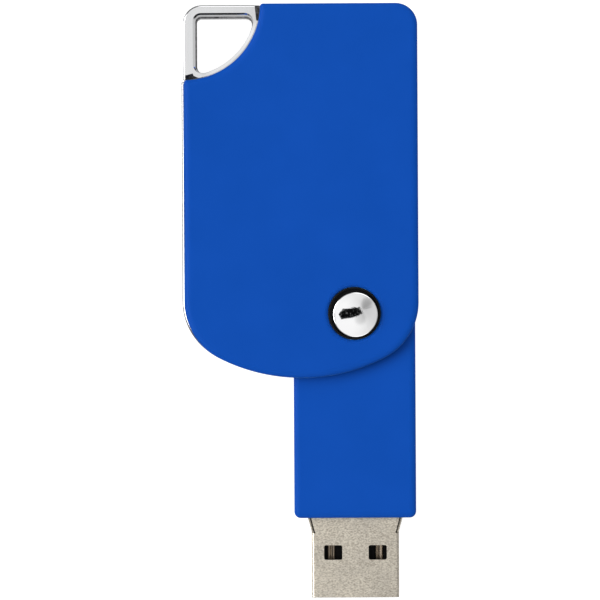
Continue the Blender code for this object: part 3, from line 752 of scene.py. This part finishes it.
def rivet_cap(look):
    """A polished, very shallow dome that sits a little tilted, so that its top is off its centre."""
    cone, curve = 0.02, 0.033           # how steeply it falls at its top, and how much more with each mm
    edge_r, edge_turn, edge_steps = 0.18, 10, 4         # its edge turns by 10 degrees in each of four steps
    flat_r = CAP_R - edge_r * math.sin(math.radians(edge_steps * edge_turn))
    rows = 16

    def height(point):
        reach = (point - CAP_TOP).length
        return CAP_APEX - cone * reach - curve * reach ** 2 / 2

    flat = circle(CAP_CENTRE, flat_r)
    rings = []
    for row in range(rows + 1):
        ring = [CAP_TOP + row / rows * (rim - CAP_TOP) for rim in flat]
        rings.append([(*point, height(point)) for point in ring])
    for step in range(1, edge_steps + 1):
        turn = polar((0, 0), edge_r, 90 - edge_turn * step)
        rim = circle(CAP_CENTRE, flat_r + turn.x)
        rings.append([(*point, height(base) - edge_r + turn.y) for point, base in zip(rim, flat)])
    roof = CAP_APEX - CAP_ROOF
    for radius, level in ((CAP_R, CAP_LOW), (CAP_BORE_R, CAP_LOW), (CAP_BORE_R, roof), (0, roof)):
        rings.append([(*point, level) for point in circle(CAP_CENTRE, radius)])
    solid = bmesh.new()
    bridge(solid, [[solid.verts.new(point) for point in ring] for ring in rings])
    return new_object("rivet_cap", solid, look)


def rivet(look):
    """The pin with its headed back end, which is slightly domed with a dimple from peening."""
    (_, _, head), (_, _, top) = span("pivot_pin")
    path = [
        (0, top), (SHAFT_R, top), (SHAFT_R, HEAD_SEAT), (HEAD_R, HEAD_SEAT), (HEAD_R, head + 0.05),
        (DIMPLE_R, head), (0, head + DIMPLE),
    ]
    return lathe("rivet", PIVOT, soft(path, (0.2, 0.1, 0.08, 0.2, 0.2)), look)


def ring(name, node, look):
    """A cup bush in a plate: a thin wall, a floor and softened lips."""
    low, high = span(node)[0].z, span(node)[1].z
    front = high > SPLIT_Z
    mouth, floor = (high, low) if front else (low, high)
    seat = floor + BUSH_FLOOR * (1 if front else -1)
    middle = (mouth + floor) / 2
    path = [
        (BUSH_R, middle), (BUSH_R, mouth), (BUSH_INNER_R, mouth), (BUSH_INNER_R, seat),
        (SLEEVE_R, seat), (SLEEVE_R, floor), (BUSH_R, floor), (BUSH_R, middle),
    ]
    return lathe(name, PIVOT, soft(path, (0.1, 0.1, 0.1, 0.05, 0.05, 0.1), 4), look)


# ---------------------------------------------------------------- stick

def case_half(name, front, look):
    """One half of the stick's case: softened outside, a fine chamfer at the split, hollow inside."""
    outer, split = (STICK_HIGH, SPLIT_Z + SPLIT_GAP) if front else (STICK_LOW, SPLIT_Z - SPLIT_GAP)
    low, high = sorted((outer, split))
    outward = 1 if front else -1
    path = edge_path(low, high, *[SPLIT_EDGE, STICK_EDGE][::outward])
    shell = slab(name, [wall(stick_outline, path)], look)
    past = split - outward          # 1 mm beyond the split, so that the tools cut right through it
    cavity = sorted((CAVITY_HIGH if front else CAVITY_LOW, past))
    inner = stick_outline(CASE_WALL, STICK_END + END_WALL - CASE_WALL, CASE_WALL + CAVITY_CORNER_R)
    boss = circle((0, 0), BOSS_R)[::-1]
    bore = [(0, low - 1), (BOSS_BORE_R, low - 1), (BOSS_BORE_R, high + 1), (0, high + 1)]
    seat_low, seat_high = sorted((outer - outward * WASHER_SEAT, outer + outward))
    seat = [(0, seat_low), (WASHER_SEAT_R, seat_low), (WASHER_SEAT_R, seat_high), (0, seat_high)]
    mouth_low, mouth_high = (past, APERTURE_HIGH) if front else (APERTURE_LOW, past)
    mouth_start = (-APERTURE_HALF, STICK_END - 1, mouth_low)
    mouth_end = (APERTURE_HALF, STICK_END + 2, mouth_high)
    carve(
        shell,
        slab(name + "_hollow", [[(outline, height) for height in cavity] for outline in (inner, boss)]),
        lathe(name + "_bore", (0, 0), bore),
        lathe(name + "_seat", (0, 0), seat),
        block(name + "_mouth", mouth_start, mouth_end, 0.05),
    )
    return shell


def flare_cuts():
    """Plans of the cuts at the right corner of the plug's flare, each with its depth: the slit beside the
    flat sheet, the gap between it and the side sheet, and the notch where both start."""
    start, end, beyond = FLARE_START, STICK_END, STICK_END + 1
    sheet, sheet_end, side, side_end, outside = 5.57, 6.08, 5.85, 6.36, 7.4
    last = [(sheet_end, beyond), (sheet_end, end)]
    slit = [(sheet, start), (outside, start), (outside, beyond), *last]
    gap = [(sheet, start), (side, start), (side_end, end), (side_end, beyond), *last]
    notch = rounded_box((sheet - 0.05, start - 0.2), (outside, start + 0.05), 0.05)
    return (slit, 0.4), (gap, 0.9), (notch, 0.9)


def plug_shell(look):
    """A folded sheet tube that flares into the case, open along its corners there, with four windows."""
    def section(y, half, inset):
        low, high = (-half + inset, PLUG_LOW + inset), (half - inset, PLUG_HIGH - inset)
        return [(x, y, z) for x, z in rounded_box(low, high, PLUG_CORNER_R - inset, 8)]

    flare = [
        (PLUG_TIP, PLUG_HALF),
        (FLARE_START - 0.1, PLUG_HALF),
        (FLARE_START + 0.1, PLUG_HALF + 0.02),
        (STICK_END - 0.1, FLARE_HALF - 0.02),
        (STICK_END + 0.1, FLARE_HALF),
        (PLUG_REAR, FLARE_HALF),
    ]
    lip = 0.06
    rings = [section(PLUG_TIP + lip, PLUG_HALF, 0)] + [section(y, half, 0) for y, half in flare[1:]]
    rings += [section(y, half, SHEET) for y, half in flare[:0:-1]]
    rings += [section(PLUG_TIP + lip, PLUG_HALF, SHEET), section(PLUG_TIP, PLUG_HALF, SHEET - lip)]
    rings += [section(PLUG_TIP, PLUG_HALF, lip)]
    shell = loft("plug_shell", rings, look, capped=False)

    window_y, half_width = PLUG_TIP + WINDOW_FROM_TIP, WINDOW[0] / 2
    tools = []
    for side in (-1, 1):
        low = (side * WINDOW_X - half_width, window_y)
        high = (side * WINDOW_X + half_width, window_y + WINDOW[1])
        outline = rounded_box(low, high, WINDOW_R)
        tools.append(slab("window", [[(outline, PLUG_LOW - 1), (outline, PLUG_HIGH + 1)]]))
        for face, outward in ((PLUG_HIGH, 1), (PLUG_LOW, -1)):
            for cut, depth in flare_cuts():
                outline = [Vector((side * x, y)) for x, y in cut][::side]
                heights = sorted((face - outward * depth, face + outward))
                tools.append(slab("slit", [[(outline, height) for height in heights]]))
    carve(shell, *tools)
    return shell


def cut_seam(shell):
    """The folded sheet's joint along the plug's underside, with one dovetail."""
    width, depth, tab, flank = 0.07, 0.15, 1.3, 0.45
    start, end = PLUG_TIP + 3.4, PLUG_TIP + 6.0
    dovetail = [(0, start), (tab, start - flank), (tab, end + flank), (0, end)]
    line = [(0, PLUG_TIP - 1), *dovetail, (0, STICK_END + 1)]
    right = [Vector((x + width / 2, y)) for x, y in line]
    left = [Vector((x - width / 2, y)) for x, y in line]
    outline = right + left[::-1]
    carve(shell, slab("seam", [[(outline, PLUG_LOW - 1), (outline, PLUG_LOW + depth)]]))


def plug_tongue(look):
    """The insulator: a tongue with four grooves, on a block that fills the plug's rear."""
    start, end = (-TONGUE_HALF, PLUG_TIP + 0.3, TONGUE_LOW), (TONGUE_HALF, TONGUE_REAR, TONGUE_HIGH)
    tongue = block("plug_tongue", start, end, 0.12, look)
    into_sheet = 0.02           # leaves no line of light between the block and the sheet
    inside, flared = PLUG_HALF - SHEET + into_sheet, FLARE_HALF - SHEET + into_sheet
    front, rear = FLARE_START - 0.25, TONGUE_REAR - 0.3
    right = [(inside, front), (inside, FLARE_START), (flared, STICK_END), (flared, rear)]
    outline = [Vector(point) for point in right + [(-x, y) for x, y in reversed(right)]]
    path = edge_path(TONGUE_LOW + 0.3, BLOCK_HIGH, BLOCK_EDGE, BLOCK_EDGE, 4)
    unite(tongue, slab("tongue_block", [wall(outline, path)]))
    for x, back in CONTACTS:
        start = (x - GROOVE_HALF, PLUG_TIP + back - 0.2, GROOVE_LOW)
        end = (x + GROOVE_HALF, TONGUE_REAR + 2, TONGUE_HIGH + 0.23)
        carve(tongue, block("groove", start, end, 0.02))
    return tongue


def contact_strip(number, x, back, look):
    """A pressed strip with two rolled ridges and a valley between them, tapered at its tip."""
    start, end = PLUG_TIP + back, span("contact_1")[1].y - PIVOT.y

    def section(y, half, top):
        ridge = [(half, top - 0.06), (half - 0.12, top), (0.16, top - 0.02), (0.05, top - 0.09)]
        right = [(half, CONTACT_LOW), *ridge]
        across = right + [(-dx, z) for dx, z in reversed(right)]
        return [(x + dx, y, z) for dx, z in across]

    rings = [section(start, 0.34, CONTACT_HIGH - 0.07), section(start + 0.25, 0.46, CONTACT_HIGH - 0.02)]
    rings += [section(y, 0.5, CONTACT_HIGH) for y in (start + 0.6, end)]
    return loft(f"contact_strip_{number}", rings, look)


# ---------------------------------------------------------------- studio

CAMERA_HEIGHT = 500.0
CAMERA_AT = (-0.05, 0.17)
CAMERA_ROLL = -0.3
LENS, SENSOR = 214.9, 36.0
FLOOR_SIZE, FLOOR_GAP = 4000.0, 0.02
RIG_LOW, RIG_HIGH = 505.0, 510.0
RIG_PLAN = (            # chosen from the shape that the rivet's cap mirrors
    (-6, 25), (-22, 18), (-43, 11), (-75, 5), (-96, 2), (-116, -30), (-102, -58), (-43, -53), (20, -41),
    (9, -31), (-10, -4),
)


def camera():
    """A camera straight above the part, far enough away that it shows hardly any of its sides."""
    data = bpy.data.cameras.new("camera")
    data.lens = LENS
    data.sensor_width = SENSOR
    data.clip_start = 0.01
    made = bpy.data.objects.new("camera", data)
    made.location = (CAMERA_AT[0] * MM, CAMERA_AT[1] * MM, CAMERA_HEIGHT * MM)
    made.rotation_euler = (0, 0, math.radians(CAMERA_ROLL))
    bpy.context.scene.collection.objects.link(made)
    bpy.context.scene.camera = made


def floor():
    """A pale lit table, which looks whiter to the camera than to the pieces that mirror it."""
    look = Look("pale_floor", (0.3, 0.3, 0.3, 1), 0.6, Specular_IOR_Level=0.1)
    look.set("Emission Color", (1, 1, 1, 1))
    seen = look.tree.nodes.new("ShaderNodeLightPath").outputs["Is Camera Ray"]
    look.set("Emission Strength", look.range(seen, 0.35, 0.93, 0, 1))
    look.set("Roughness", look.range(look.noise(4.0), 0.55, 0.65))
    solid = bmesh.new()
    bmesh.ops.create_grid(solid, x_segments=1, y_segments=1, size=FLOOR_SIZE / 2)
    made = new_object("floor", solid, look.material)
    made.data.transform(Matrix.Scale(MM, 4))
    made.location.z = (BACK_FACE - FLOOR_GAP) * MM


def rig():
    """The dark camera rig overhead, which only the polished pieces mirror."""
    look = Look("rig_black", (0.004, 0.004, 0.004, 1), 0.9, Specular_IOR_Level=0.0)
    specks = look.range(look.noise(9.0, 3.0), 0, 1, 0.62, 0.66)
    look.set("Base Color", look.mixed(specks, (0.003, 0.003, 0.003, 1), (0.3, 0.3, 0.3, 1)))
    outline = [Vector(point) for point in RIG_PLAN]
    made = slab("camera_rig", [[(outline, RIG_LOW), (outline, RIG_HIGH)]], look.material)
    made.data.transform(Matrix.Scale(MM, 4))
    made.visible_camera = False
    made.visible_diffuse = False
    made.visible_shadow = False
    made.visible_transmission = False


def studio():
    """A soft white studio by direction: a bright ceiling, dimmer walls with three lamps, a dark horizon and
    a pale far wall. The camera itself sees plain white."""
    world = bpy.data.worlds.new("studio")
    world.use_nodes = True
    bpy.context.scene.world = world
    tree = world.node_tree
    background = tree.nodes["Background"]

    def node(kind, *values, **settings):
        made = tree.nodes.new(kind)
        for name, value in settings.items():
            setattr(made, name, value)
        for socket, value in enumerate(values):
            if isinstance(value, bpy.types.NodeSocket):
                tree.links.new(value, made.inputs[socket])
            elif value is not None:
                made.inputs[socket].default_value = value
        return made

    direction = node("ShaderNodeTexCoord").outputs["Generated"]
    axes = node("ShaderNodeSeparateXYZ", direction).outputs
    ramp = node("ShaderNodeValToRGB", axes["Z"])
    stops = ((0.0, 0.3), (0.85, 0.33), (0.93, 0.85), (0.985, 0.9), (1.0, 0.78))
    elements = ramp.color_ramp.elements
    while len(elements) < len(stops):
        elements.new(0.5)
    for element, (at, level) in zip(elements, stops):
        element.position = at
        element.color = (level, level, level, 1)

    def combined(operation, first, second):
        return node("ShaderNodeMath", first, second, operation=operation).outputs[0]

    def lamp(towards, start, end, strength):
        """A soft round lamp in a direction, or a dimmer patch if its strength is below zero."""
        aim = node("ShaderNodeVectorMath", direction, Vector(towards).normalized(), operation="DOT_PRODUCT")
        return smooth(aim.outputs["Value"], start, end, 0.0, strength)

    def smooth(value, *limits):
        return node("ShaderNodeMapRange", value, *limits, interpolation_type="SMOOTHSTEP").outputs["Result"]

    side = node("ShaderNodeMapRange", axes["X"], -1.0, 1.0, 1.15, 0.85).outputs["Result"]
    room = combined("MULTIPLY", ramp.outputs["Color"], side)
    for towards, start, end, strength in (
        ((-0.76, 0.08, 0.57), 0.88, 0.975, 7.2),    # key
        ((0.2, 0.76, 0.6), 0.88, 0.98, 2.0),        # beyond the loop
        ((0.1, -0.8, 0.6), 0.88, 0.98, 1.5),        # before the plug
    ):
        room = combined("ADD", room, lamp(towards, start, end, strength))
    level = combined("MULTIPLY", room, smooth(axes["Z"], 0.28, 0.42, 0.07, 1.0))
    for towards, start, end, strength in (
        ((1, 0.3, 0.12), 0.7, 0.95, 0.6),           # pale far wall at the right
        ((-0.22, -0.12, 1), 0.95, 0.99, 0.15),      # lighter and darker patches of the ceiling
        ((0.26, 0.02, 1), 0.95, 0.99, -0.15),
        ((0.075, 0.075, 1), 0.9955, 0.9998, -0.28),
        ((-0.005, -0.115, 1), 0.996, 0.9998, -0.25),
    ):
        level = combined("ADD", level, lamp(towards, start, end, strength))
    seen = node("ShaderNodeLightPath").outputs["Is Camera Ray"]
    shown = node("ShaderNodeMix", seen, None, level, 1.0)
    tree.links.new(shown.outputs[0], background.inputs["Color"])
    bpy.context.scene.view_settings.view_transform = "Standard"


# ---------------------------------------------------------------- assembly

def dress(look, *nodes):
    """Give a look to CAD nodes that keep their shape."""
    for node in nodes:
        piece = frame["nodes"][node]
        if not piece.material_slots:
            piece.data.materials.append(None)
        piece.material_slots[0].link = "OBJECT"
        piece.material_slots[0].material = look


def main():
    """Build the camera, every piece and the studio."""
    camera()
    # dark is the painted shade for the casting's gaps and its parting ridge
    blue, bright, black, dark = blue_plastic(), chrome(), black_plastic(), painted_gap_shade()
    iron, gilt = steel(), contact_gilt()
    settle(cover_plate("front_plate", FRONT_FACE, blue), "cover", ["front_cover"])
    settle(cover_plate("back_plate", BACK_FACE, blue), "cover", ["back_cover"])
    settle(chrome_frame(bright, dark), "cover", ["keyring_frame"])
    settle(rivet_cap(turned_chrome()), "cover", ["pivot_cap"])
    settle(rivet(iron), "cover", ["pivot_pin"])
    for side in ("front", "back"):
        bush = f"{side}_pivot_bush"
        settle(ring(f"{side}_ring", bush, black), "cover", [bush])
        case = case_half(f"{side}_case", side == "front", blue)
        settle(case, "stick", [f"stick_{side}_shell"], PIVOT)
    shell = plug_shell(plug_nickel())
    cut_seam(shell)
    settle(shell, "stick", ["usb_shell"], PIVOT)
    settle(plug_tongue(black), "stick", ["plug_insulator"], PIVOT)
    for number, (x, back) in enumerate(CONTACTS, 1):
        strip = contact_strip(number, x, back, gilt)
        settle(strip, "stick", [f"contact_{number}"], PIVOT)
    dress(sintered_bronze(), "stick_bush")
    dress(iron, "wave_washer", "crystal")
    dress(nylon(), "friction_washer")
    dress(solder_mask(), "circuit_board")
    dress(chip_epoxy(), "flash_chip", "controller_chip", "voltage_regulator")
    ceramic = end_capped("ceramic", linear(166, 134, 98), 0.5, "X")
    film = end_capped("resistor_film", linear(28, 28, 32), 0.4, "Y")
    for number in range(1, 5):
        dress(ceramic, f"capacitor_{number}")
        dress(film, f"resistor_{number}")
    floor()
    rig()
    studio()


main()
